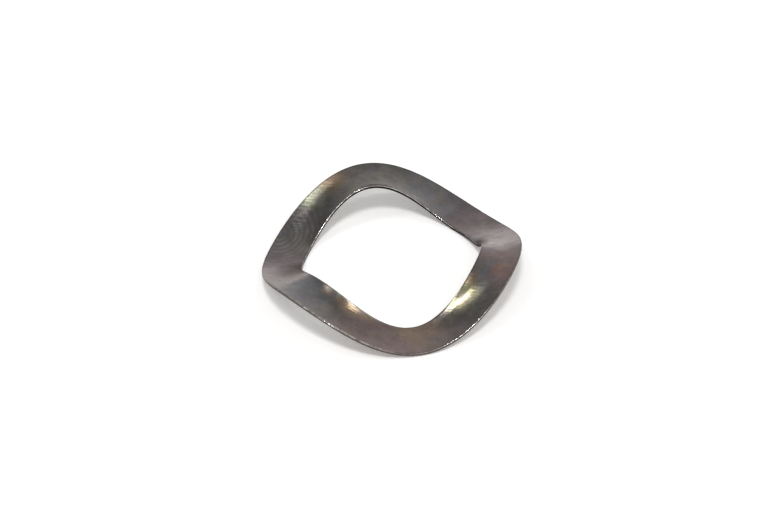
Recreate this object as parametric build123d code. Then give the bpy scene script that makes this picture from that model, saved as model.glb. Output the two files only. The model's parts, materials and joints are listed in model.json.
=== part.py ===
"""Wave spring washer: one flat ring of thin spring strip, pressed into waves and hardened.

Seen from above it is a plain ring. Seen from the side it rises and falls in even waves, so that it
bears on its crests above and on its troughs below, and gives between them. Where the press bends the
strip over a crest it cups it as well: along a radius the strip's middle lies below its edges, most on
the crests and least in the troughs. The washer stands on its troughs with +Z up, its bore is on the Z
axis, and its first crest is on the bearing given below.
"""
import os
from math import cos, radians, sin, sqrt

from build123d import *
from build123d.topology import SkipClean

# Driving dimensions, in millimetres and degrees
shaft_diameter = 17.0  # the shaft that the washer goes over
shaft_clearance = 0.15  # between the shaft and the bore, on the radius
ring_width = 3.85  # from the bore to the rim
strip_thickness = 0.28
free_height = 4.1  # from the troughs to the crests, with no load on the washer
crest_cup = 0.36  # how far the strip's middle lies below its edges on a crest
trough_cup = 0.12  # and in a trough
edge_break = 0.04  # the small flat that tumbling leaves along each edge of the strip
wave_count = 3
crest_bearing = 90.0  # where the first crest lies, turned from +X about +Z
land_share = 0.13  # how much of a wave counts as the land on each crest and each trough
stock_share = 0.125  # how far the strip first reaches into the bore, as a share of its thickness
cut_overrun = 1.0  # how far the bore's cut goes past the washer, above and below
spans_per_run = 8  # steps in which a curve follows one land or one flank
spans_per_face = 4  # steps across the strip, with a curve at each, in which a face follows the cup
heading_step = 0.1  # turn to either side of a point, over which the strip's heading is taken

# Worked out from them
bore_radius = shaft_diameter / 2 + shaft_clearance
rim_radius = bore_radius + ring_width
mean_radius = (bore_radius + rim_radius) / 2
face_start = bore_radius + edge_break
face_width = ring_width - 2 * edge_break
half_face = face_width / 2
half_strip = strip_thickness / 2
half_wave = 180 / wave_count
land_angle = 2 * half_wave * land_share
bore_stock = strip_thickness * stock_share

# The strip's edges carry the wave, and its middle is cupped below them. On a crest the upper edges are
# at the free height, and in a trough the underside of the middle is on the floor
crest_tilt = 2 * crest_cup / half_face
crest_height = free_height - half_strip * sqrt(1 + crest_tilt**2)
trough_height = half_strip + trough_cup
middle_height = (crest_height + trough_height) / 2
wave_amplitude = (crest_height - trough_height) / 2
middle_cup = (crest_cup + trough_cup) / 2
cup_swing = (crest_cup - trough_cup) / 2

# Runs round the ring, as first bearing and sweep: a land on each crest and trough, then a flank
ring_runs = []
for land in range(2 * wave_count):
    land_start = crest_bearing + land * half_wave - land_angle / 2
    ring_runs.append((land_start, land_angle))
    ring_runs.append((land_start + land_angle, half_wave - land_angle))


def strip_point(radius, bearing, lift):
    """A point of the strip, lifted off its middle surface so that the strip keeps its thickness."""
    turn = radians(bearing)
    phase = wave_count * radians(bearing - crest_bearing)
    across = (radius - mean_radius) / half_face
    inward = 1 - across**2
    cup = middle_cup + cup_swing * cos(phase)
    height = middle_height + wave_amplitude * cos(phase) - cup * inward
    slope = -wave_count * (wave_amplitude - cup_swing * inward) * sin(phase) / radius
    tilt = 2 * cup * across / half_face
    rise = lift * sqrt(1 + slope**2 + tilt**2) / (1 + slope**2)
    along = -rise * slope
    return Vector(
        radius * cos(turn) - along * sin(turn),
        radius * sin(turn) + along * cos(turn),
        height + rise,
    )


def strip_heading(radius, bearing, lift):
    """The way that the strip runs at a point, for curves that meet there without a kink."""
    before = strip_point(radius, bearing - heading_step, lift)
    after = strip_point(radius, bearing + heading_step, lift)
    return after - before


def strip_curve(radius, lift):
    """The closed curve that one point of the strip's section follows, with a spline to each run."""
    with SkipClean(), BuildLine() as curve:
        for start, sweep in ring_runs:
            bearings = [start + sweep * span / spans_per_run for span in range(spans_per_run + 1)]
            ends = (start, start + sweep)
            Spline(
                [strip_point(radius, bearing, lift) for bearing in bearings],
                tangents=[strip_heading(radius, bearing, lift) for bearing in ends],
            )
    return curve.wire()


# Curves of the upper face and of the underside, from the bore to the rim
face_radii = [face_start + face_width * span / spans_per_face for span in range(spans_per_face + 1)]
upper_curves = [strip_curve(radius, half_strip) for radius in face_radii]
under_curves = [strip_curve(radius, -half_strip) for radius in face_radii]

# Curves of the rim's wall, and of the stock that the bore's cut takes off, where both broken edges run on
wall_lift = half_strip - edge_break
stock_lift = wall_lift - bore_stock
rim_curves = [strip_curve(rim_radius, lift) for lift in (wall_lift, -wall_lift)]
stock_curves = [strip_curve(bore_radius - bore_stock, lift) for lift in (-stock_lift, stock_lift)]

# Each face is lofted across its curves, the edges are ruled from one curve to the next, over the rim
# and back up the bore, and together these skins close round the strip
skins = [Shell.make_loft(upper_curves), Shell.make_loft(under_curves)]
rim_side = [upper_curves[-1], *rim_curves, under_curves[-1]]
bore_side = [under_curves[0], *stock_curves, upper_curves[0]]
for edge_curves in (rim_side, bore_side):
    for pair in zip(edge_curves, edge_curves[1:]):
        skins.append(Face.make_surface_from_curves(*pair))
waved_strip = Solid(Shell([face for skin in skins for face in skin.faces()]))

# The bore's outline, with an arc to each run
with SkipClean(), BuildLine(Plane.XY.offset(-cut_overrun)) as bore_outline:
    for start, sweep in ring_runs:
        CenterArc((0, 0), bore_radius, start, sweep)

# The washer is the waved strip, bored true. Its lands and flanks stay faces of their own, because
# faces that carry on into each other aren't merged after the cut
with SkipClean(), BuildPart() as wave_washer:
    add(waved_strip)
    extrude(
        Face(bore_outline.wire()),
        amount=free_height + 2 * cut_overrun,
        clean=False,
        mode=Mode.SUBTRACT,
    )

wave_washer.part.label = "wave_washer"

os.makedirs("parts", exist_ok=True)
export_step(wave_washer.part, "parts/wave_washer.step")
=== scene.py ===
"""Wave spring washer in tempered spring steel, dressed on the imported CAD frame.

The blank is a flat ring of strip with softly broken edges. Geometry Nodes sweep its section round, press
it into waves and leave the strip a little cupped, as a press does, with one place on the edge of the bore
pressed down. The steel keeps its temper colours, the marks of the rolling mill and bright worn edges.
"""
import json
from math import cos, pi, radians, sin, tan

import bpy
from bpy.props import FloatProperty, FloatVectorProperty, IntProperty, PointerProperty
from mathutils import Matrix, Vector


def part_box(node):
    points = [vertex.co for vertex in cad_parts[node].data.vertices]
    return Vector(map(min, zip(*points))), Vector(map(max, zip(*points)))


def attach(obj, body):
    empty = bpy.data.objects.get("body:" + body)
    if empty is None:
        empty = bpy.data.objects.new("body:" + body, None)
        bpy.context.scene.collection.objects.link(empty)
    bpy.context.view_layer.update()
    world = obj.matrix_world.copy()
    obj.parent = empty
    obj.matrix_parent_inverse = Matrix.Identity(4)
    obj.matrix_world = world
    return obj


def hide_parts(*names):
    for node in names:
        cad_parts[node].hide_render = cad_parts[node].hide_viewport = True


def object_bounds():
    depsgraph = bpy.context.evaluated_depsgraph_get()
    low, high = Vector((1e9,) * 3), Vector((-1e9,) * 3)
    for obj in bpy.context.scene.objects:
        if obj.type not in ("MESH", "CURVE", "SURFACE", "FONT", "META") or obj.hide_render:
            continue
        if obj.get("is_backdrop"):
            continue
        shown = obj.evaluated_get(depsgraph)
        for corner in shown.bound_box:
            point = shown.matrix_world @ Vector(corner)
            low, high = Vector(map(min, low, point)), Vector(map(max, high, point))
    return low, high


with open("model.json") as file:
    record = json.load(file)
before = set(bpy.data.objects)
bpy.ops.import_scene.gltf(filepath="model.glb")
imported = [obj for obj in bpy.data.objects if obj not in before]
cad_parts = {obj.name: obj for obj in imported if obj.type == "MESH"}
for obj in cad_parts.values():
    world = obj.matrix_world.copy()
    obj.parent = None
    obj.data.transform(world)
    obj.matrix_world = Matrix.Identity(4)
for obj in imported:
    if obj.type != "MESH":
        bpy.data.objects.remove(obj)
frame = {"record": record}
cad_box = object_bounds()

bl_info = {
    "name": "Wave Spring Washer",
    "version": (1, 0, 0),
    "blender": (4, 5, 0),
    "location": "View3D > Sidebar > Washer",
    "description": "Makes a wave spring washer in tempered spring steel, with its studio stage",
    "category": "Object",
}

MM = 0.001
NODE = "wave_washer"
IMAGE_WIDTH = 780  # pixels
SENSOR_WIDTH = 36.0  # millimetres

# Where across the strip the pressed place begins: -1 is the bore and 1 is the rim
SET_START = -0.3

# Steps round each broken edge of the strip
EDGE_STEPS = 4

# Sizes of the patterns on the steel, in millimetres
WANDER_SIZE = 3.0  # bends in the outlines of the broad patches
WANDER_REACH = 5.0  # how far such an outline could stray, from one side to the other
MOTTLE_SIZE = 1.1
BLOTCH_SIZE = 1.7
GRAIN_SIZE = 0.25
STREAK_LENGTH = 2.5
STREAK_WIDTH = 0.24
LAP_SPACING = 0.52  # from one lapping arc to the next
LAP_WANDER = 0.8
LAP_REACH = 5.4  # from the place where the lap dwelt to where its arcs have faded out
LAP_CORE = 2.6  # and to where they begin to fade
# The dark last of each face is painted shade
EDGE_SHADE_WIDTH = 0.16  # the dark last of each face, next to the edge
RUB_SIZE = 0.4  # runs and dots in which the edges are rubbed bright
LIP_WIDTH = 0.7  # the upturned last of the face, next to the bore
MARK_HEIGHT = 0.012

# How far the sheet was turned against its rolling streaks, and on which bearing the lap dwelt, in degrees
STREAK_TURN = 30
LAP_BEARING = 139.5

# What the steel gives back at a grazing glance: a little less than all of the light
GRAZING_TINT = "#E9E3E2"

# How far right of and above the middle of the picture the washer's middle lies, in pixels
AIM_RIGHT = 1.48
AIM_UP = 3.12

# How far off the lamps hang, in metres. Each has its swing from the camera's heading and its lift above the
# floor, how far it spreads to either side and up and down, all in degrees, and its radiance
LAMP_DISTANCE = 0.8
LAMP_COLOUR = "#FDFEFF"
LAMPS = (
    ("left_softbox", -97, 64.5, 4.3, 8.5, 9.5),
    ("left_fill", -67, 67, 6.0, 6.0, 0.85),
    ("right_softbox", 94, 53, 4.0, 10.0, 3.9),
    ("front_softbox", 180, 66, 5.5, 5.5, 43.0),
)

# The room's level is a sum over the way looked, in the camera's own rightward, forward and upward parts: a
# level for every way, how much each part adds to it, and how much each pair of parts adds
ROOM_LEVEL = 1.24
ROOM_SLOPES = (0.47, -0.40, -1.04)
ROOM_BENDS = ((-0.55, -0.05, -0.52), (0, 0, 0.21), (0, 0, 0.38))

# Two darker places in the room, overhead and to the left: swing and lift of the middle, how far the place
# reaches and how far its darkest part does, all in degrees, and what share of the light is left there
ROOM_SHADES = (
    (0, 90, 44, 14, 0.62),
    (-66, 43, 26, 8, 0.62),
)

# How far the paper reaches to every side of the washer, in metres, and how strong its own glow is
FLOOR_REACH = 8.0
FLOOR_GLOW = 0.12

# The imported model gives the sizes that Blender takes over
low_corner, high_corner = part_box(NODE)
mounts = {mount["name"]: mount for mount in frame["record"]["mounts"]}
CAD_BORE_RADIUS = mounts["bore"]["dims"]["r_mm"] * MM
CAD_RIM_RADIUS = (high_corner.x - low_corner.x) / 2
CAD_FREE_HEIGHT = high_corner.z - low_corner.z


def linear(hex_colour):
    """The linear colour of an sRGB hex value."""
    channels = [int(hex_colour[place:place + 2], 16) / 255 for place in (1, 3, 5)]
    return [c / 12.92 if c <= 0.04045 else ((c + 0.055) / 1.055) ** 2.4 for c in channels]


def add_node(tree, kind, inputs=(), **settings):
    """Add a node with its settings, and give each input that is named a value or a link."""
    node = tree.nodes.new(kind)
    for name, value in settings.items():
        setattr(node, name, value)
    for key, value in dict(inputs).items():
        if isinstance(value, bpy.types.NodeSocket):
            tree.links.new(value, node.inputs[key])
        else:
            node.inputs[key].default_value = value
    return node


class WasherSizes(bpy.types.PropertyGroup):
    """Sizes of the washer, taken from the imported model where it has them."""

    bore_radius: FloatProperty(
        name="Bore Radius", description="From the axis to the bore",
        default=CAD_BORE_RADIUS, min=MM, precision=5, subtype="DISTANCE", unit="LENGTH")
    rim_radius: FloatProperty(
        name="Rim Radius", description="From the axis to the rim",
        default=CAD_RIM_RADIUS, min=2 * MM, precision=5, subtype="DISTANCE", unit="LENGTH")
    free_height: FloatProperty(
        name="Free Height", description="From the floor to the crests, with no load",
        default=CAD_FREE_HEIGHT, min=MM, precision=5, subtype="DISTANCE", unit="LENGTH")
    strip_thickness: FloatProperty(
        name="Strip Thickness", description="Thickness of the spring strip",
        default=0.28 * MM, min=0.05 * MM, precision=6, subtype="DISTANCE", unit="LENGTH")
    edge_radius: FloatProperty(
        name="Edge Radius", description="Rounding that tumbling leaves on each edge of the strip",
        default=0.06 * MM, min=0.005 * MM, precision=6, subtype="DISTANCE", unit="LENGTH")
    waves: IntProperty(
        name="Waves", description="Crests round the ring", default=3, min=2, max=12)
    crest_bearing: FloatProperty(
        name="Crest Bearing", description="Where the first crest lies, turned from +X about +Z",
        default=radians(90), subtype="ANGLE", unit="ROTATION")
    crest_cup: FloatProperty(
        name="Crest Cup", description="How far the middle of the strip lies below its edges on a crest",
        default=0.36 * MM, min=0, precision=6, subtype="DISTANCE", unit="LENGTH")
    trough_cup: FloatProperty(
        name="Trough Cup", description="How far the middle of the strip lies below its edges in a trough",
        default=0.12 * MM, min=0, precision=6, subtype="DISTANCE", unit="LENGTH")
    set_depth: FloatProperty(
        name="Set Depth", description="How far one place on the edge of the bore was pressed down",
        default=0.6 * MM, min=0, precision=6, subtype="DISTANCE", unit="LENGTH")
    set_bearing: FloatProperty(
        name="Set Bearing", description="Where that place lies, turned from +X about +Z",
        default=radians(3), subtype="ANGLE", unit="ROTATION")
    set_spread: FloatProperty(
        name="Set Spread", description="How far that place spreads to either side round the ring",
        default=radians(22), min=radians(2), subtype="ANGLE", unit="ROTATION")
    steps_round: IntProperty(
        name="Steps Round", description="Segments round the ring", default=720, min=48, max=1200)
    step_across: FloatProperty(
        name="Step Across", description="Longest span across the strip",
        default=0.17 * MM, min=0.05 * MM, precision=6, subtype="DISTANCE", unit="LENGTH")


class SteelFinish(bpy.types.PropertyGroup):
    """Colours of the tempered steel."""

    steel: FloatVectorProperty(
        name="Steel", description="Dark satin grey of the hardened strip",
        default=linear("#8A8786"), min=0, max=1, subtype="COLOR")
    straw: FloatVectorProperty(
        name="Straw", description="First temper colour, an olive straw",
        default=linear("#918C77"), min=0, max=1, subtype="COLOR")
    olive: FloatVectorProperty(
        name="Olive", description="Temper colour before straw, a yellowish olive",
        default=linear("#938E70"), min=0, max=1, subtype="COLOR")
    copper: FloatVectorProperty(
        name="Copper", description="Temper colour between straw and brown, a pale copper",
        default=linear("#B39C82"), min=0, max=1, subtype="COLOR")
    brown: FloatVectorProperty(
        name="Brown", description="Second temper colour, a warm brown",
        default=linear("#948280"), min=0, max=1, subtype="COLOR")
    russet: FloatVectorProperty(
        name="Russet", description="Temper colour between brown and mauve, a reddish brown",
        default=linear("#AC8578"), min=0, max=1, subtype="COLOR")
    amber: FloatVectorProperty(
        name="Amber", description="Deep temper colour next to the bore, a dark amber",
        default=linear("#86705A"), min=0, max=1, subtype="COLOR")
    mauve: FloatVectorProperty(
        name="Mauve", description="Third temper colour, a greyed mauve",
        default=linear("#918487"), min=0, max=1, subtype="COLOR")
    blue: FloatVectorProperty(
        name="Blue", description="Fourth temper colour, a greyed blue",
        default=linear("#8E9095"), min=0, max=1, subtype="COLOR")
    green: FloatVectorProperty(
        name="Green", description="Last temper colour, a pale greyed green",
        default=linear("#A9AC94"), min=0, max=1, subtype="COLOR")
    # Pale is a painted reflection, laid where the strip turns away to either side
    turn_reflection_colour: FloatVectorProperty(
        name="Pale", description="Paler steel where handling thinned the oxide",
        default=linear("#B2ADAF"), min=0, max=1, subtype="COLOR")
    # Bare Edge also serves as painted highlights, bright spots on the face
    bare_edge_and_highlight: FloatVectorProperty(
        name="Bare Edge", description="Bright steel where the edges are rubbed",
        default=linear("#ECE8E2"), min=0, max=1, subtype="COLOR")
    # The wall colour is painted shade: nearly black for the dark front of the room that the bore's wall
    # faces. The marks below also lay it on the face to darken it
    wall: FloatVectorProperty(
        name="Sheared Wall", description="Nearly black scale on the sheared wall of the bore",
        default=linear("#1C1918"), min=0, max=1, subtype="COLOR")
    # The rim wall's brown is a painted reflection: lighter than the bore's wall, for the floor that the rim's
    # wall faces
    rim_wall_floor_reflection: FloatVectorProperty(
        name="Rim Wall", description="Brown scale on the rim, rubbed thin",
        default=linear("#5E5652"), min=0, max=1, subtype="COLOR")
    roughness: FloatProperty(
        name="Roughness", description="How satin the faces are",
        default=0.19, min=0, max=1, subtype="FACTOR")


class StageLook(bpy.types.PropertyGroup):
    """The floor and the camera."""

    floor_colour: FloatVectorProperty(
        name="Floor Colour", description="Colour of the paper that the washer lies on",
        default=linear("#FFFEFC"), min=0, max=1, subtype="COLOR")
    camera_bearing: FloatProperty(
        name="Camera Bearing", description="Where the camera stands, turned from -Y about +Z",
        default=radians(-12.08), subtype="ANGLE", unit="ROTATION")
    camera_elevation: FloatProperty(
        name="Camera Elevation", description="How high the camera stands above the floor",
        default=radians(39.39), subtype="ANGLE", unit="ROTATION")
    camera_roll: FloatProperty(
        name="Camera Roll", description="How far the camera leans about its own line of sight",
        default=radians(-2.206), subtype="ANGLE", unit="ROTATION")
    camera_distance: FloatProperty(
        name="Camera Distance", description="From the camera to the middle of the washer",
        default=259.7 * MM, min=50 * MM, subtype="DISTANCE", unit="LENGTH")
    picture_width: FloatProperty(
        name="Picture Width", description="Width that the picture takes in at the middle of the washer",
        default=74.82 * MM, min=10 * MM, subtype="DISTANCE", unit="LENGTH")


def pressing_tree(sizes, steel):
    """Geometry Nodes that sweep the strip's section round a ring and press the ring into waves."""
    tree = bpy.data.node_groups.new("pressed_ring", "GeometryNodeTree")
    tree.interface.new_socket("Geometry", in_out="OUTPUT", socket_type="NodeSocketGeometry")
    wanted = [
        ("Bore Radius", "NodeSocketFloat", sizes.bore_radius),
        ("Rim Radius", "NodeSocketFloat", sizes.rim_radius),
        ("Free Height", "NodeSocketFloat", sizes.free_height),
        ("Strip Thickness", "NodeSocketFloat", sizes.strip_thickness),
        ("Edge Radius", "NodeSocketFloat", sizes.edge_radius),
        ("Waves", "NodeSocketInt", sizes.waves),
        ("Crest Bearing", "NodeSocketFloat", sizes.crest_bearing),
        ("Crest Cup", "NodeSocketFloat", sizes.crest_cup),
        ("Trough Cup", "NodeSocketFloat", sizes.trough_cup),
        ("Set Depth", "NodeSocketFloat", sizes.set_depth),
        ("Set Bearing", "NodeSocketFloat", sizes.set_bearing),
        ("Set Spread", "NodeSocketFloat", sizes.set_spread),
        ("Steps Round", "NodeSocketInt", sizes.steps_round),
        ("Step Across", "NodeSocketFloat", sizes.step_across),
        ("Material", "NodeSocketMaterial", steel),
    ]
    values = {}
    for name, kind, value in wanted:
        socket = tree.interface.new_socket(name, in_out="INPUT", socket_type=kind)
        values[socket.identifier] = value
    size = add_node(tree, "NodeGroupInput").outputs

    # Sizes that follow from the inputs
    width = add_node(
        tree, "ShaderNodeMath",
        {0: size["Rim Radius"], 1: size["Bore Radius"]}, operation="SUBTRACT").outputs[0]
    half_width = add_node(tree, "ShaderNodeMath", {0: width, 1: 0.5}, operation="MULTIPLY").outputs[0]
    half_strip = add_node(
        tree, "ShaderNodeMath", {0: size["Strip Thickness"], 1: 0.5}, operation="MULTIPLY").outputs[0]
    mean_radius = add_node(
        tree, "ShaderNodeMath", {0: size["Bore Radius"], 1: half_width}, operation="ADD").outputs[0]
    half_face = add_node(
        tree, "ShaderNodeMath",
        {0: half_width, 1: size["Edge Radius"]}, operation="SUBTRACT").outputs[0]

    # The strip's edges carry the wave. On a crest the upper edges are at the free height, and in a trough
    # the underside of the middle, which is cupped below the edges, is on the floor
    double_cup = add_node(
        tree, "ShaderNodeMath", {0: size["Crest Cup"], 1: 2.0}, operation="MULTIPLY").outputs[0]
    crest_tilt = add_node(
        tree, "ShaderNodeMath", {0: double_cup, 1: half_face}, operation="DIVIDE").outputs[0]
    lean = add_node(
        tree, "ShaderNodeMath",
        {0: crest_tilt, 1: crest_tilt, 2: 1.0}, operation="MULTIPLY_ADD").outputs[0]
    lean_length = add_node(tree, "ShaderNodeMath", {0: lean}, operation="SQRT").outputs[0]
    over_crest = add_node(
        tree, "ShaderNodeMath", {0: half_strip, 1: lean_length}, operation="MULTIPLY").outputs[0]
    crest_height = add_node(
        tree, "ShaderNodeMath",
        {0: size["Free Height"], 1: over_crest}, operation="SUBTRACT").outputs[0]
    trough_height = add_node(
        tree, "ShaderNodeMath", {0: half_strip, 1: size["Trough Cup"]}, operation="ADD").outputs[0]

    # The strip's section: a rectangle with rounded corners, cut finer where a side is long
    section = add_node(
        tree, "GeometryNodeCurvePrimitiveQuadrilateral",
        {"Width": width, "Height": size["Strip Thickness"]})
    rounded = add_node(
        tree, "GeometryNodeFilletCurve",
        {"Curve": section.outputs[0], "Count": EDGE_STEPS, "Radius": size["Edge Radius"]}, mode="POLY")
    here = add_node(tree, "GeometryNodeInputPosition").outputs[0]
    next_point = add_node(tree, "GeometryNodeOffsetPointInCurve", {"Offset": 1}).outputs["Point Index"]
    there = add_node(
        tree, "GeometryNodeFieldAtIndex", {"Index": next_point, "Value": here},
        domain="POINT", data_type="FLOAT_VECTOR").outputs[0]
    span = add_node(
        tree, "ShaderNodeVectorMath", {0: here, 1: there}, operation="DISTANCE").outputs["Value"]
    cuts = add_node(
        tree, "ShaderNodeMath", {0: span, 1: size["Step Across"]}, operation="DIVIDE").outputs[0]
    cut_section = add_node(
        tree, "GeometryNodeSubdivideCurve", {"Curve": rounded.outputs[0], "Cuts": cuts})

    # The blank: the section swept round a flat ring
    path = add_node(
        tree, "GeometryNodeCurvePrimitiveCircle",
        {"Resolution": size["Steps Round"], "Radius": mean_radius}, mode="RADIUS")
    upright = add_node(tree, "GeometryNodeSetCurveNormal", {"Curve": path.outputs[0]}, mode="Z_UP")
    blank = add_node(
        tree, "GeometryNodeCurveToMesh",
        {"Curve": upright.outputs[0], "Profile Curve": cut_section.outputs[0]})

    # Where each point of the blank lies: radius and bearing on the ring, lift off the middle of the strip
    flat = add_node(tree, "ShaderNodeSeparateXYZ", {0: here}).outputs
    plan = add_node(
        tree, "ShaderNodeVectorMath", {0: here, 1: (1, 1, 0)}, operation="MULTIPLY").outputs[0]
    radius = add_node(tree, "ShaderNodeVectorMath", {0: plan}, operation="LENGTH").outputs["Value"]
    bearing = add_node(
        tree, "ShaderNodeMath", {0: flat["Y"], 1: flat["X"]}, operation="ARCTAN2").outputs[0]
    from_crest = add_node(
        tree, "ShaderNodeMath", {0: bearing, 1: size["Crest Bearing"]}, operation="SUBTRACT").outputs[0]
    phase = add_node(
        tree, "ShaderNodeMath", {0: from_crest, 1: size["Waves"]}, operation="MULTIPLY").outputs[0]
    wave = add_node(tree, "ShaderNodeMath", {0: phase}, operation="COSINE").outputs[0]
    fall = add_node(tree, "ShaderNodeMath", {0: phase}, operation="SINE").outputs[0]

    # Height of the strip's middle surface: the wave of the edges, less the cupping between them
    offset = add_node(
        tree, "ShaderNodeMath", {0: radius, 1: mean_radius}, operation="SUBTRACT").outputs[0]
    across = add_node(tree, "ShaderNodeMath", {0: offset, 1: half_face}, operation="DIVIDE").outputs[0]
    across_squared = add_node(
        tree, "ShaderNodeMath", {0: across, 1: across}, operation="MULTIPLY").outputs[0]
    inward = add_node(
        tree, "ShaderNodeMath", {0: 1.0, 1: across_squared}, operation="SUBTRACT").outputs[0]
    edge_height = add_node(
        tree, "ShaderNodeMapRange",
        {"Value": wave, "From Min": -1.0, "From Max": 1.0, "To Min": trough_height, "To Max": crest_height},
        clamp=False).outputs[0]
    cup = add_node(
        tree, "ShaderNodeMapRange",
        {"Value": wave, "From Min": -1.0, "From Max": 1.0,
         "To Min": size["Trough Cup"], "To Max": size["Crest Cup"]}, clamp=False).outputs[0]
    sag = add_node(tree, "ShaderNodeMath", {0: cup, 1: inward}, operation="MULTIPLY").outputs[0]
    middle_height = add_node(
        tree, "ShaderNodeMath", {0: edge_height, 1: sag}, operation="SUBTRACT").outputs[0]

    # At one place the edge of the bore was pressed down a little, less and less towards the rim
    from_set = add_node(
        tree, "ShaderNodeMath", {0: bearing, 1: size["Set Bearing"]}, operation="SUBTRACT").outputs[0]
    nearer_way = add_node(
        tree, "ShaderNodeMath", {0: from_set, 1: pi, 2: -pi}, operation="WRAP").outputs[0]
    aside = add_node(tree, "ShaderNodeMath", {0: nearer_way}, operation="ABSOLUTE").outputs[0]
    near_set = add_node(
        tree, "ShaderNodeMapRange",
        {"Value": aside, "From Min": 0.0, "From Max": size["Set Spread"], "To Min": 1.0, "To Max": 0.0},
        interpolation_type="SMOOTHSTEP").outputs[0]
    near_bore = add_node(
        tree, "ShaderNodeMapRange",
        {"Value": across, "From Min": SET_START, "From Max": -1.0, "To Min": 0.0, "To Max": 1.0}).outputs[0]
    bent = add_node(tree, "ShaderNodeMath", {0: near_bore, 1: near_bore}, operation="MULTIPLY").outputs[0]
    pressed_share = add_node(tree, "ShaderNodeMath", {0: near_set, 1: bent}, operation="MULTIPLY").outputs[0]
    set_down = add_node(
        tree, "ShaderNodeMath", {0: pressed_share, 1: size["Set Depth"]}, operation="MULTIPLY").outputs[0]
    middle_height = add_node(
        tree, "ShaderNodeMath", {0: middle_height, 1: set_down}, operation="SUBTRACT").outputs[0]

    # Its slope round the ring, and its tilt along a radius
    edge_swing = add_node(
        tree, "ShaderNodeMath", {0: crest_height, 1: trough_height}, operation="SUBTRACT").outputs[0]
    cup_swing = add_node(
        tree, "ShaderNodeMath",
        {0: size["Crest Cup"], 1: size["Trough Cup"]}, operation="SUBTRACT").outputs[0]
    sag_swing = add_node(
        tree, "ShaderNodeMath", {0: cup_swing, 1: inward}, operation="MULTIPLY").outputs[0]
    swing = add_node(
        tree, "ShaderNodeMath", {0: edge_swing, 1: sag_swing}, operation="SUBTRACT").outputs[0]
    half_waves = add_node(
        tree, "ShaderNodeMath", {0: size["Waves"], 1: 0.5}, operation="MULTIPLY").outputs[0]
    steepness = add_node(
        tree, "ShaderNodeMath", {0: swing, 1: half_waves}, operation="MULTIPLY").outputs[0]
    run = add_node(tree, "ShaderNodeMath", {0: steepness, 1: fall}, operation="MULTIPLY").outputs[0]
    slope = add_node(tree, "ShaderNodeMath", {0: run, 1: radius}, operation="DIVIDE").outputs[0]
    bend = add_node(tree, "ShaderNodeMath", {0: cup, 1: across}, operation="MULTIPLY").outputs[0]
    double_bend = add_node(tree, "ShaderNodeMath", {0: bend, 1: 2.0}, operation="MULTIPLY").outputs[0]
    tilt = add_node(
        tree, "ShaderNodeMath", {0: double_bend, 1: half_face}, operation="DIVIDE").outputs[0]

    # Each point is lifted off the middle surface so that the strip keeps its thickness. Only the pressed
    # place comes out a little thinner
    level_part = add_node(
        tree, "ShaderNodeMath", {0: slope, 1: slope, 2: 1.0}, operation="MULTIPLY_ADD").outputs[0]
    stretch = add_node(
        tree, "ShaderNodeMath", {0: tilt, 1: tilt, 2: level_part}, operation="MULTIPLY_ADD").outputs[0]
    length = add_node(tree, "ShaderNodeMath", {0: stretch}, operation="SQRT").outputs[0]
    growth = add_node(tree, "ShaderNodeMath", {0: length, 1: level_part}, operation="DIVIDE").outputs[0]
    rise = add_node(tree, "ShaderNodeMath", {0: flat["Z"], 1: growth}, operation="MULTIPLY").outputs[0]
    along = add_node(tree, "ShaderNodeMath", {0: rise, 1: slope}, operation="MULTIPLY").outputs[0]
    share = add_node(tree, "ShaderNodeMath", {0: along, 1: radius}, operation="DIVIDE").outputs[0]
    round_way = add_node(
        tree, "ShaderNodeVectorMath", {0: plan, 1: (0, 0, 1)}, operation="CROSS_PRODUCT").outputs[0]
    slip = add_node(
        tree, "ShaderNodeVectorMath", {0: round_way, "Scale": share}, operation="SCALE").outputs[0]
    slid = add_node(tree, "ShaderNodeVectorMath", {0: plan, 1: slip}, operation="SUBTRACT").outputs[0]
    height = add_node(tree, "ShaderNodeMath", {0: middle_height, 1: rise}, operation="ADD").outputs[0]
    risen = add_node(tree, "ShaderNodeCombineXYZ", {"Z": height}).outputs[0]
    pressed_place = add_node(
        tree, "ShaderNodeVectorMath", {0: slid, 1: risen}, operation="ADD").outputs[0]

    # How far each point has gone round a broken edge: 0 on the faces, 1 on the rim's and the bore's walls
    outward = add_node(tree, "ShaderNodeMath", {0: offset}, operation="ABSOLUTE").outputs[0]
    past = add_node(tree, "ShaderNodeMath", {0: outward, 1: half_face}, operation="SUBTRACT").outputs[0]
    turned = add_node(
        tree, "ShaderNodeMath",
        {0: past, 1: size["Edge Radius"]}, operation="DIVIDE", use_clamp=True).outputs[0]
    marked = add_node(
        tree, "GeometryNodeStoreNamedAttribute",
        {"Geometry": blank.outputs[0], "Name": "round_the_edge", "Value": turned},
        data_type="FLOAT", domain="POINT")

    # How far in from the edge it lies on the faces, in millimetres
    inset = add_node(tree, "ShaderNodeMath", {0: past, 1: -1 / MM}, operation="MULTIPLY").outputs[0]
    measured = add_node(
        tree, "GeometryNodeStoreNamedAttribute",
        {"Geometry": marked.outputs[0], "Name": "from_the_edge", "Value": inset},
        data_type="FLOAT", domain="POINT")

    # Where it lies in the strip's thickness: 1 on the upper face and -1 on the underside
    lift = add_node(
        tree, "ShaderNodeMath", {0: flat["Z"], 1: half_strip}, operation="DIVIDE").outputs[0]
    sided = add_node(
        tree, "GeometryNodeStoreNamedAttribute",
        {"Geometry": measured.outputs[0], "Name": "through_the_strip", "Value": lift},
        data_type="FLOAT", domain="POINT")

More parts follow.
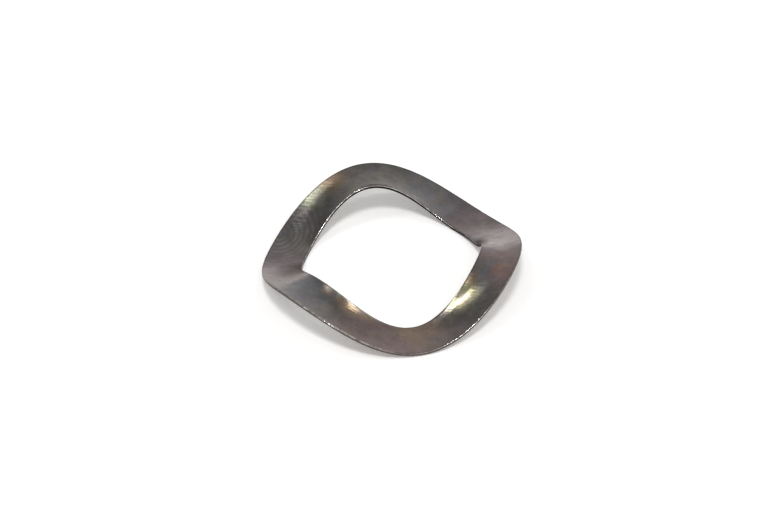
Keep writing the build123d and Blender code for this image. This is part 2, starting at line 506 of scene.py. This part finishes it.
    pressed = add_node(
        tree, "GeometryNodeSetPosition", {"Geometry": sided.outputs[0], "Position": pressed_place})
    smooth = add_node(tree, "GeometryNodeSetShadeSmooth", {"Geometry": pressed.outputs[0]})
    realized = add_node(tree, "GeometryNodeRealizeInstances", {"Geometry": smooth.outputs[0]})
    steeled = add_node(
        tree, "GeometryNodeSetMaterial",
        {"Geometry": realized.outputs[0], "Material": size["Material"]})
    add_node(tree, "NodeGroupOutput", {0: steeled.outputs[0]})
    return tree, values


def patch_cover(tree, place, bearing, radius, reach, depth):
    """How far a round patch covers a place: not at all at its reach, in full within a quarter of it."""
    turn = radians(bearing)
    middle = (radius * cos(turn), radius * sin(turn), 0)
    gap = add_node(
        tree, "ShaderNodeVectorMath", {0: place, 1: middle}, operation="DISTANCE").outputs["Value"]
    return add_node(
        tree, "ShaderNodeMapRange",
        {"Value": gap, "From Min": reach, "From Max": reach / 4, "To Min": 0.0, "To Max": depth},
        interpolation_type="SMOOTHSTEP").outputs[0]


def spring_steel(sizes, finish):
    """Hardened and tempered spring strip: blanked, pressed, heated until it coloured, then tumbled.

    To the eye it is a dark satin metal. Thin oxide tints it straw, brown, mauve and blue in broad patches,
    the mill's and the lap's fine marks break up its glints, and the edges are rubbed back to bright steel.
    Painted shade makes the bore's sheared wall nearly black, and darkens a band next to each edge and a few
    places on the face. Painted reflections make the rim's wall brown and the strip paler where it turns
    away, and a few bright spots on the face are painted highlights.
    """
    material = bpy.data.materials.new("tempered spring steel")
    material.use_nodes = True
    tree = material.node_tree
    tree.nodes.clear()

    # Where a point is, in millimetres, and on which bearing
    object_place = add_node(tree, "ShaderNodeTexCoord").outputs["Object"]
    place = add_node(
        tree, "ShaderNodeVectorMath", {0: object_place, "Scale": 1 / MM}, operation="SCALE").outputs[0]
    plan = add_node(
        tree, "ShaderNodeVectorMath", {0: place, 1: (1, 1, 0)}, operation="MULTIPLY").outputs[0]
    from_axis = add_node(tree, "ShaderNodeVectorMath", {0: plan}, operation="LENGTH").outputs["Value"]
    around_edge = add_node(
        tree, "ShaderNodeAttribute",
        attribute_name="round_the_edge", attribute_type="GEOMETRY").outputs["Fac"]
    from_edge = add_node(
        tree, "ShaderNodeAttribute",
        attribute_name="from_the_edge", attribute_type="GEOMETRY").outputs["Fac"]

    # The oxide isn't even: its patches wander by a millimetre or so and are mottled
    wander = add_node(
        tree, "ShaderNodeTexNoise", {"Vector": place, "Scale": 1 / WANDER_SIZE, "Detail": 2.0}).outputs
    mottle = add_node(
        tree, "ShaderNodeTexNoise",
        {"Vector": place, "Scale": 1 / MOTTLE_SIZE, "Detail": 4.0, "Roughness": 0.6}).outputs
    grain = add_node(
        tree, "ShaderNodeTexNoise",
        {"Vector": place, "Scale": 1 / GRAIN_SIZE, "Detail": 2.0}).outputs["Fac"]
    stray = add_node(
        tree, "ShaderNodeVectorMath",
        {0: wander["Color"], 1: (0.5, 0.5, 0.5)}, operation="SUBTRACT").outputs[0]
    strayed = add_node(
        tree, "ShaderNodeVectorMath",
        {0: stray, 1: (WANDER_REACH, WANDER_REACH, 0.0), 2: plan}, operation="MULTIPLY_ADD").outputs[0]

    # Broad patches of temper colour that wander: the tint, the bearing and radius of the patch's middle in
    # degrees and millimetres, how far it reaches in millimetres, and how deep it is
    broad_patches = [
        (finish.mauve, 18, 10.6, 8.5, 0.9),
        (finish.blue, 55, 10.6, 4.0, 0.45),
        (finish.straw, 92, 10.6, 7.0, 0.1),
        (finish.mauve, 165, 10.6, 4.8, 0.7),
        (finish.blue, 203, 10.4, 4.5, 0.6),
        (finish.brown, 256, 10.6, 8.0, 1.0),
        (finish.brown, 330, 10.6, 3.8, 0.9),
        (finish.mauve, 352, 10.6, 4.0, 0.6),
        (finish.copper, 273, 8.9, 3.2, 0.5),
    ]
    colour = list(finish.steel) + [1]
    for tint, bearing, radius, reach, depth in broad_patches:
        cover = patch_cover(tree, strayed, bearing, radius, reach, depth)
        colour = add_node(
            tree, "ShaderNodeMix",
            {0: cover, 6: colour, 7: list(tint) + [1]}, data_type="RGBA").outputs[2]

    # Where the strip turns away to either side its colour is painted paler, a painted reflection of the floor
    # there, and it is also made duller
    left_turn_reflection = patch_cover(tree, strayed, 173, 9.9, 4.0, 1.0)
    right_turn_reflection = patch_cover(tree, strayed, 1, 9.4, 4.5, 1.0)
    turn_reflection_and_dulling = add_node(
        tree, "ShaderNodeMath", {0: left_turn_reflection, 1: right_turn_reflection}, operation="ADD").outputs[0]
    painted_turn_reflection = add_node(tree, "ShaderNodeMath", {0: turn_reflection_and_dulling, 1: 0.85}, operation="MULTIPLY").outputs[0]
    colour = add_node(
        tree, "ShaderNodeMix",
        {0: painted_turn_reflection, 6: colour, 7: list(finish.turn_reflection_colour) + [1]}, data_type="RGBA").outputs[2]

    # Smaller patches and single marks that stay where they are, laid out in the same way. Besides temper
    # colours they hold painted light: the marks in the wall's dark colour darken the face, as painted shade
    # beside glints, and a few bright spots are painted highlights
    marks = [
        (finish.olive, 303, 9.3, 2.5, 1.0),
        # Painted shade that narrows the glint on the copper next to the bore
        (finish.wall, 229, 9.75, 1.7, 0.25),
        (finish.copper, 231, 8.75, 1.7, 1.0),
        (finish.copper, 240, 8.65, 1.3, 0.9),
        (finish.copper, 106, 12.2, 2.3, 0.9),
        (finish.green, 117, 12.0, 2.0, 0.9),
        # Painted shade beside the glint on the rim at 127 and 108 degrees; the face is also darkened a little
        # at 157, 243 and 67 degrees
        (finish.wall, 127, 12.0, 2.3, 0.54),
        (finish.wall, 157, 10.6, 3.4, 0.16),
        (finish.wall, 243, 11.8, 3.6, 0.12),
        (finish.wall, 67, 11.8, 3.0, 0.12),
        (finish.wall, 108, 10.6, 2.2, 0.14),
        # The face darkened a little at 340 degrees
        (finish.wall, 340, 8.9, 1.6, 0.18),
        # A paler spot at 6 degrees and the plain steel at 177 degrees tune that painted reflection
        (finish.bare_edge_and_highlight, 6, 9.3, 2.4, 0.1),
        (finish.steel, 177, 9.3, 1.8, 0.6),
        (finish.brown, 318, 12.0, 2.0, 0.7),
        (finish.blue, 322, 10.2, 2.0, 0.9),
        # The face darkened a little at 325 degrees
        (finish.wall, 325, 9.8, 1.7, 0.17),
        (finish.russet, 323.5, 11.2, 1.5, 0.8),
        (finish.amber, 314, 8.75, 1.2, 0.8),
        # A painted highlight at the right-hand turn
        (finish.bare_edge_and_highlight, 351.5, 9.5, 0.6, 0.5),
        # Painted shade: a dark reflection painted on the face at the pressed place by the bore
        (finish.wall, 6, 8.4, 1.5, 0.4),
        # A painted glint near the bore: a bright spot with a copper rim
        (finish.copper, 216, 9.0, 0.9, 0.8),
        (finish.bare_edge_and_highlight, 216, 9.0, 0.5, 0.45),
        (finish.wall, 187, 11.28, 0.16, 0.9),
    ]
    for tint, bearing, radius, reach, depth in marks:
        cover = patch_cover(tree, plan, bearing, radius, reach, depth)
        colour = add_node(
            tree, "ShaderNodeMix",
            {0: cover, 6: colour, 7: list(tint) + [1]}, data_type="RGBA").outputs[2]

    # Blotches of straw and mauve wherever the oxide's thickness varies
    blotches = add_node(
        tree, "ShaderNodeTexNoise",
        {"Vector": place, "Scale": 1 / BLOTCH_SIZE, "Detail": 3.0, "Roughness": 0.6}).outputs["Color"]
    blotch = add_node(tree, "ShaderNodeSeparateColor", {0: blotches}).outputs
    for tint, channel, depth in ((finish.straw, 0, 0.4), (finish.mauve, 1, 0.5)):
        cover = add_node(
            tree, "ShaderNodeMapRange",
            {"Value": blotch[channel], "From Min": 0.48, "From Max": 0.68, "To Min": 0.0, "To Max": depth},
            interpolation_type="SMOOTHSTEP").outputs[0]
        colour = add_node(
            tree, "ShaderNodeMix",
            {0: cover, 6: colour, 7: list(tint) + [1]}, data_type="RGBA").outputs[2]

    # A faint play of hue, as the oxide's thickness varies
    shimmer = add_node(
        tree, "ShaderNodeVectorMath",
        {0: mottle["Color"], 1: (0.14, 0.12, 0.14), 2: (0.93, 0.94, 0.93)},
        operation="MULTIPLY_ADD").outputs[0]
    colour = add_node(
        tree, "ShaderNodeVectorMath", {0: colour, 1: shimmer}, operation="MULTIPLY").outputs[0]

    # Mottling and grain in the depth of the oxide
    depth = add_node(
        tree, "ShaderNodeMapRange",
        {"Value": mottle["Fac"], "From Min": 0.3, "From Max": 0.7, "To Min": 0.86, "To Max": 1.14}).outputs[0]
    speckle = add_node(
        tree, "ShaderNodeMapRange",
        {"Value": grain, "From Min": 0.3, "From Max": 0.7, "To Min": 0.94, "To Max": 1.06}).outputs[0]

    # Rolling marks: long fine streaks that all run one way across the sheet. Real ones lie closer than would
    # show, so these are drawn coarser
    turned = add_node(
        tree, "ShaderNodeMapping",
        {"Vector": plan, "Rotation": (0, 0, radians(STREAK_TURN))}).outputs[0]
    along_sheet = add_node(
        tree, "ShaderNodeVectorMath",
        {0: turned, 1: (1 / STREAK_LENGTH, 1 / STREAK_WIDTH, 1.0)}, operation="MULTIPLY").outputs[0]
    streaks = add_node(
        tree, "ShaderNodeTexNoise", {"Vector": along_sheet, "Scale": 1.0, "Detail": 2.0}).outputs["Fac"]

    # Lapping marks: arcs about one place on the rim, where a lap dwelt on the blank
    dwell_bearing = radians(LAP_BEARING)
    dwell = Vector((cos(dwell_bearing), sin(dwell_bearing), 0)) * (sizes.rim_radius / MM)
    away = add_node(
        tree, "ShaderNodeVectorMath", {0: plan, 1: dwell}, operation="DISTANCE").outputs["Value"]
    uneven = add_node(
        tree, "ShaderNodeMath",
        {0: wander["Fac"], 1: LAP_WANDER, 2: away}, operation="MULTIPLY_ADD").outputs[0]
    turns = add_node(
        tree, "ShaderNodeMath", {0: uneven, 1: 2 * pi / LAP_SPACING}, operation="MULTIPLY").outputs[0]
    ripple = add_node(tree, "ShaderNodeMath", {0: turns}, operation="SINE").outputs[0]
    fade = add_node(
        tree, "ShaderNodeMapRange",
        {"Value": away, "From Min": LAP_REACH, "From Max": LAP_CORE, "To Min": 0.0, "To Max": 1.0},
        interpolation_type="SMOOTHSTEP").outputs[0]
    broken = add_node(
        tree, "ShaderNodeMapRange",
        {"Value": mottle["Fac"], "From Min": 0.38, "From Max": 0.6, "To Min": 0.25, "To Max": 1.0}).outputs[0]
    fade = add_node(tree, "ShaderNodeMath", {0: fade, 1: broken}, operation="MULTIPLY").outputs[0]
    arcs = add_node(tree, "ShaderNodeMath", {0: ripple, 1: fade}, operation="MULTIPLY").outputs[0]
    arc_shade = add_node(
        tree, "ShaderNodeMath", {0: arcs, 1: 0.17, 2: 1.0}, operation="MULTIPLY_ADD").outputs[0]

    # The last of each face, next to the edge, is darkened: painted shade, for the dark line that the edge
    # shows
    edge_shade = add_node(
        tree, "ShaderNodeMapRange",
        {"Value": from_edge, "From Min": 0.0, "From Max": EDGE_SHADE_WIDTH, "To Min": 0.62, "To Max": 1.0},
        interpolation_type="SMOOTHSTEP").outputs[0]
    shade = add_node(tree, "ShaderNodeMath", {0: depth, 1: speckle}, operation="MULTIPLY").outputs[0]
    shade = add_node(tree, "ShaderNodeMath", {0: shade, 1: arc_shade}, operation="MULTIPLY").outputs[0]
    shade = add_node(tree, "ShaderNodeMath", {0: shade, 1: edge_shade}, operation="MULTIPLY").outputs[0]
    face = add_node(
        tree, "ShaderNodeVectorMath", {0: colour, "Scale": shade}, operation="SCALE").outputs[0]

    # Round the edge: bright where tumbling rubbed it, in runs and dots, then the wall, painted nearly black
    # in the bore as shade and brown on the rim as a reflection of the floor
    sheared = add_node(
        tree, "ShaderNodeMapRange",
        {"Value": around_edge, "From Min": 0.75, "From Max": 1.0, "To Min": 0.0, "To Max": 1.0}).outputs[0]
    mean_radius = (sizes.bore_radius + sizes.rim_radius) / 2 / MM
    outer = add_node(
        tree, "ShaderNodeMath", {0: from_axis, 1: mean_radius}, operation="GREATER_THAN").outputs[0]
    wall = add_node(
        tree, "ShaderNodeMix",
        {0: outer, 6: list(finish.wall) + [1], 7: list(finish.rim_wall_floor_reflection) + [1]}, data_type="RGBA").outputs[2]
    walled = add_node(
        tree, "ShaderNodeMix", {0: sheared, 6: face, 7: wall}, data_type="RGBA").outputs[2]
    rub = add_node(
        tree, "ShaderNodeTexNoise",
        {"Vector": place, "Scale": 1 / RUB_SIZE, "Detail": 3.0}).outputs["Fac"]
    rubbed = add_node(
        tree, "ShaderNodeMapRange",
        {"Value": rub, "From Min": 0.38, "From Max": 0.60, "To Min": 0.18, "To Max": 1.0}).outputs[0]

    # On four stretches of the bore the rubbed edge is unbroken
    for bearing, reach in ((128, 4.5), (239, 3.6), (80, 3.0), (342, 2.6)):
        steady = patch_cover(tree, plan, bearing, sizes.bore_radius / MM, reach, 0.85)
        rubbed = add_node(
            tree, "ShaderNodeMath", {0: rubbed, 1: steady}, operation="MAXIMUM").outputs[0]
    corner_in = add_node(
        tree, "ShaderNodeMapRange",
        {"Value": around_edge, "From Min": 0.05, "From Max": 0.3, "To Min": 0.0, "To Max": 1.0}).outputs[0]
    corner_out = add_node(
        tree, "ShaderNodeMapRange",
        {"Value": around_edge, "From Min": 0.8, "From Max": 0.97, "To Min": 1.0, "To Max": 0.0}).outputs[0]
    corner = add_node(
        tree, "ShaderNodeMath", {0: corner_in, 1: corner_out}, operation="MULTIPLY").outputs[0]
    worn = add_node(tree, "ShaderNodeMath", {0: corner, 1: rubbed}, operation="MULTIPLY").outputs[0]

    # The bore's upper edge is rubbed most, its lower edge not at all, and the rim's edges about half
    through = add_node(
        tree, "ShaderNodeAttribute",
        attribute_name="through_the_strip", attribute_type="GEOMETRY").outputs["Fac"]
    upper = add_node(tree, "ShaderNodeMath", {0: through, 1: 0.0}, operation="GREATER_THAN").outputs[0]
    upper_wear = add_node(
        tree, "ShaderNodeMapRange", {"Value": outer, "To Min": 1.0, "To Max": 0.5}).outputs[0]
    lower_wear = add_node(
        tree, "ShaderNodeMapRange", {"Value": outer, "To Min": 0.0, "To Max": 0.6}).outputs[0]
    side_wear = add_node(
        tree, "ShaderNodeMix", {0: upper, 2: lower_wear, 3: upper_wear}).outputs[0]
    worn = add_node(tree, "ShaderNodeMath", {0: worn, 1: side_wear}, operation="MULTIPLY").outputs[0]

    # On the rim's left side a bright line runs on the face as well, next to the edge
    rim_line = add_node(
        tree, "ShaderNodeMapRange",
        {"Value": from_edge, "From Min": 0.07, "From Max": 0.2, "To Min": 1.0, "To Max": 0.0}).outputs[0]
    rim_run = patch_cover(tree, plan, 232, sizes.rim_radius / MM, 7.5, 0.7)
    rim_line = add_node(
        tree, "ShaderNodeMath", {0: rim_line, 1: rim_run}, operation="MULTIPLY").outputs[0]
    rim_line = add_node(
        tree, "ShaderNodeMath", {0: rim_line, 1: rubbed}, operation="MULTIPLY").outputs[0]
    on_face = add_node(
        tree, "ShaderNodeMath", {0: 1.0, 1: around_edge}, operation="SUBTRACT").outputs[0]
    rim_line = add_node(
        tree, "ShaderNodeMath", {0: rim_line, 1: on_face}, operation="MULTIPLY").outputs[0]
    worn = add_node(tree, "ShaderNodeMath", {0: worn, 1: rim_line}, operation="MAXIMUM").outputs[0]
    base = add_node(
        tree, "ShaderNodeMix",
        {0: worn, 6: walled, 7: list(finish.bare_edge_and_highlight) + [1]}, data_type="RGBA").outputs[2]

    # Satin: a little rougher where the oxide is deep, and rough on the sheared wall
    satin = add_node(
        tree, "ShaderNodeMapRange",
        {"Value": mottle["Fac"], "From Min": 0.3, "From Max": 0.7,
         "To Min": finish.roughness - 0.03, "To Max": finish.roughness + 0.03}).outputs[0]
    dulled = add_node(
        tree, "ShaderNodeMath", {0: turn_reflection_and_dulling, 1: 0.16, 2: satin}, operation="MULTIPLY_ADD").outputs[0]
    roughness = add_node(
        tree, "ShaderNodeMath", {0: sheared, 1: 0.3, 2: dulled}, operation="MULTIPLY_ADD").outputs[0]

    # The marks stand microns high
    height = add_node(
        tree, "ShaderNodeMath", {0: arcs, 1: 0.03, 2: streaks}, operation="MULTIPLY_ADD").outputs[0]
    relief = add_node(
        tree, "ShaderNodeMath", {0: grain, 1: 0.35, 2: height}, operation="MULTIPLY_ADD").outputs[0]

    # Next to the bore the face turns up very slightly, as the punch left it
    lip = add_node(
        tree, "ShaderNodeMapRange",
        {"Value": from_edge, "From Min": 0.0, "From Max": LIP_WIDTH, "To Min": 1.6, "To Max": 0.0}).outputs[0]
    bore_lip = add_node(tree, "ShaderNodeMath", {0: 1.0, 1: outer}, operation="SUBTRACT").outputs[0]
    relief = add_node(
        tree, "ShaderNodeMath", {0: lip, 1: bore_lip, 2: relief}, operation="MULTIPLY_ADD").outputs[0]
    normal = add_node(
        tree, "ShaderNodeBump",
        {"Strength": 1.0, "Distance": MARK_HEIGHT * MM, "Height": relief}).outputs[0]

    shader = add_node(
        tree, "ShaderNodeBsdfPrincipled",
        {"Base Color": base, "Metallic": 1.0, "Roughness": roughness, "Normal": normal,
         "Specular Tint": linear(GRAZING_TINT) + [1]})
    add_node(tree, "ShaderNodeOutputMaterial", {"Surface": shader.outputs[0]})
    return material


def floor_paper(colour):
    """White matt paper, with a faint glow of its own so that it looks white where light falls on it."""
    material = bpy.data.materials.new("white matt paper")
    material.use_nodes = True
    tree = material.node_tree
    tree.nodes.clear()
    paper = add_node(tree, "ShaderNodeBsdfDiffuse", {"Color": list(colour) + [1]})
    path = add_node(tree, "ShaderNodeLightPath").outputs
    seen = add_node(
        tree, "ShaderNodeMath",
        {0: path["Is Camera Ray"], 1: path["Is Glossy Ray"]}, operation="MAXIMUM").outputs[0]
    seen = add_node(
        tree, "ShaderNodeMath",
        {0: seen, 1: path["Is Transmission Ray"]}, operation="MAXIMUM").outputs[0]
    lift = add_node(tree, "ShaderNodeMath", {0: seen, 1: FLOOR_GLOW}, operation="MULTIPLY").outputs[0]
    glow = add_node(tree, "ShaderNodeEmission", {"Color": (1, 1, 1, 1), "Strength": lift})
    both = add_node(tree, "ShaderNodeAddShader", {0: paper.outputs[0], 1: glow.outputs[0]})
    add_node(tree, "ShaderNodeOutputMaterial", {"Surface": both.outputs[0]})
    return material


def way_from(heading, level, swing, lift):
    """The way to a place that is swung from the camera's heading and lifted above the floor, in degrees."""
    side, rise = radians(swing), radians(lift)
    return heading * cos(side) * cos(rise) + level * sin(side) * cos(rise) + Vector((0, 0, sin(rise)))


def studio_room(level, heading):
    """A plain room: palest level with the washer and to the right, dimmer overhead and to the left."""
    world = bpy.data.worlds.new("studio")
    world.use_nodes = True
    tree = world.node_tree
    tree.nodes.clear()
    looked = add_node(tree, "ShaderNodeTexCoord").outputs["Generated"]
    parts = add_node(tree, "ShaderNodeCombineXYZ")
    for axis, way in enumerate((level, heading, Vector((0, 0, 1)))):
        part = add_node(tree, "ShaderNodeVectorMath", {0: looked, 1: way}, operation="DOT_PRODUCT")
        tree.links.new(part.outputs["Value"], parts.inputs[axis])
    bends = add_node(tree, "ShaderNodeCombineXYZ")
    for axis, way in enumerate(ROOM_BENDS):
        bend = add_node(
            tree, "ShaderNodeVectorMath", {0: parts.outputs[0], 1: way}, operation="DOT_PRODUCT")
        tree.links.new(bend.outputs["Value"], bends.inputs[axis])
    slopes = add_node(
        tree, "ShaderNodeVectorMath",
        {0: bends.outputs[0], 1: ROOM_SLOPES}, operation="ADD").outputs[0]
    change = add_node(
        tree, "ShaderNodeVectorMath",
        {0: slopes, 1: parts.outputs[0]}, operation="DOT_PRODUCT").outputs["Value"]
    strength = add_node(
        tree, "ShaderNodeMath", {0: change, 1: ROOM_LEVEL}, operation="ADD").outputs[0]
    for swing, lift, reach, core, share in ROOM_SHADES:
        way = way_from(heading, level, swing, lift)
        near = add_node(tree, "ShaderNodeVectorMath", {0: looked, 1: way}, operation="DOT_PRODUCT")
        dimmed = add_node(
            tree, "ShaderNodeMapRange",
            {"Value": near.outputs["Value"],
             "From Min": cos(radians(reach)), "From Max": cos(radians(core)),
             "To Min": 1.0, "To Max": share}, interpolation_type="SMOOTHSTEP").outputs[0]
        strength = add_node(
            tree, "ShaderNodeMath", {0: strength, 1: dimmed}, operation="MULTIPLY").outputs[0]
    room = add_node(tree, "ShaderNodeBackground", {"Color": (1, 1, 1, 1), "Strength": strength})
    add_node(tree, "ShaderNodeOutputWorld", {"Surface": room.outputs[0]})
    return world


class WASHER_OT_make_washer(bpy.types.Operator):
    """Make the wave spring washer that stands for the CAD solid"""

    bl_idname = "washer.make_washer"
    bl_label = "Make Washer"

    def execute(self, context):
        sizes = context.scene.washer_sizes
        steel = spring_steel(sizes, context.scene.washer_finish)
        mesh = bpy.data.meshes.new("pressed_washer")
        washer = bpy.data.objects.new("pressed_washer", mesh)
        context.scene.collection.objects.link(washer)
        modifier = washer.modifiers.new("Pressed Ring", "NODES")
        tree, values = pressing_tree(sizes, steel)
        modifier.node_group = tree
        for identifier, value in values.items():
            modifier[identifier] = value
        evaluated = washer.evaluated_get(context.evaluated_depsgraph_get())
        made = bpy.data.meshes.new_from_object(evaluated)
        if not made.polygons:
            raise RuntimeError("the pressed ring came out empty")
        washer.modifiers.remove(modifier)
        washer.data = made
        bpy.data.meshes.remove(mesh)
        made.name = "pressed_washer"
        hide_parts(NODE)
        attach(washer, "root")
        return {"FINISHED"}


class WASHER_OT_set_stage(bpy.types.Operator):
    """Lay the floor, hang the lamps and place the camera"""

    bl_idname = "washer.set_stage"
    bl_label = "Set Stage"

    def execute(self, context):
        scene = context.scene
        look = scene.washer_stage
        scene.view_settings.view_transform = "Standard"

        # The camera's own axes
        turn, tip = look.camera_bearing, look.camera_elevation
        back = Vector((sin(turn) * cos(tip), -cos(turn) * cos(tip), sin(tip)))
        level = Vector((cos(turn), sin(turn), 0))
        above = back.cross(level)
        right = level * cos(look.camera_roll) + above * sin(look.camera_roll)
        up = above * cos(look.camera_roll) - level * sin(look.camera_roll)
        heading = Vector((-sin(turn), cos(turn), 0))

        pixel = look.picture_width / IMAGE_WIDTH
        middle = Vector((0, 0, scene.washer_sizes.free_height / 2))
        aim = middle - right * AIM_RIGHT * pixel - up * AIM_UP * pixel
        camera = bpy.data.cameras.new("camera")
        camera.sensor_width = SENSOR_WIDTH
        camera.lens = SENSOR_WIDTH * look.camera_distance / look.picture_width
        camera.clip_start = 10 * MM
        camera.clip_end = 20.0
        stand = bpy.data.objects.new("camera", camera)
        turned = Matrix((right, up, back)).transposed().to_4x4()
        stand.matrix_world = Matrix.Translation(aim + back * look.camera_distance) @ turned
        scene.collection.objects.link(stand)
        scene.camera = stand

        # A wide sheet of paper on the floor
        paper = bpy.data.meshes.new("floor")
        corners = [(x * FLOOR_REACH, y * FLOOR_REACH, 0) for x, y in ((-1, -1), (1, -1), (1, 1), (-1, 1))]
        paper.from_pydata(corners, [], [(0, 1, 2, 3)])
        paper.materials.append(floor_paper(look.floor_colour))
        floor = bpy.data.objects.new("floor", paper)
        scene.collection.objects.link(floor)
        floor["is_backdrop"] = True

        # Softboxes to the left and right, and one above and behind the camera
        for name, swing, lift, spread, height, radiance in LAMPS:
            light = bpy.data.lights.new(name, "AREA")
            light.shape = "ELLIPSE"
            light.size = 2 * LAMP_DISTANCE * tan(radians(spread))
            light.size_y = 2 * LAMP_DISTANCE * tan(radians(height))
            light.energy = radiance * pi * pi * light.size * light.size_y / 4
            light.color = linear(LAMP_COLOUR)
            way = way_from(heading, level, swing, lift)
            lamp = bpy.data.objects.new(name, light)
            lamp.location = middle + way * LAMP_DISTANCE
            lamp.rotation_mode = "QUATERNION"
            lamp.rotation_quaternion = way.to_track_quat("Z", "Y")
            scene.collection.objects.link(lamp)

        scene.world = studio_room(level, heading)
        return {"FINISHED"}


class WASHER_PT_panel(bpy.types.Panel):
    """The washer's sizes and its stage"""

    bl_label = "Wave Spring Washer"
    bl_idname = "WASHER_PT_panel"
    bl_space_type = "VIEW_3D"
    bl_region_type = "UI"
    bl_category = "Washer"

    def draw(self, context):
        for group, operator in (
            (context.scene.washer_sizes, None),
            (context.scene.washer_finish, WASHER_OT_make_washer),
            (context.scene.washer_stage, WASHER_OT_set_stage),
        ):
            box = self.layout.box()
            for name in group.__annotations__:
                box.prop(group, name)
            if operator:
                box.operator(operator.bl_idname)


CLASSES = (WasherSizes, SteelFinish, StageLook, WASHER_OT_make_washer, WASHER_OT_set_stage, WASHER_PT_panel)


def register():
    """Register the classes, and hang the settings on the scene."""
    for cls in CLASSES:
        bpy.utils.register_class(cls)
    bpy.types.Scene.washer_sizes = PointerProperty(type=WasherSizes)
    bpy.types.Scene.washer_finish = PointerProperty(type=SteelFinish)
    bpy.types.Scene.washer_stage = PointerProperty(type=StageLook)


def unregister():
    """Take the settings off the scene, and the classes out again."""
    del bpy.types.Scene.washer_stage
    del bpy.types.Scene.washer_finish
    del bpy.types.Scene.washer_sizes
    for cls in reversed(CLASSES):
        bpy.utils.unregister_class(cls)


def main():
    """Build the washer and its stage."""
    register()
    bpy.ops.washer.make_washer()
    bpy.ops.washer.set_stage()
    boxes = {"cad": cad_box, "visual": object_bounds()}
    boxes = {name: [list(corner) for corner in box] for name, box in boxes.items()}


if __name__ == "__main__":
    main()
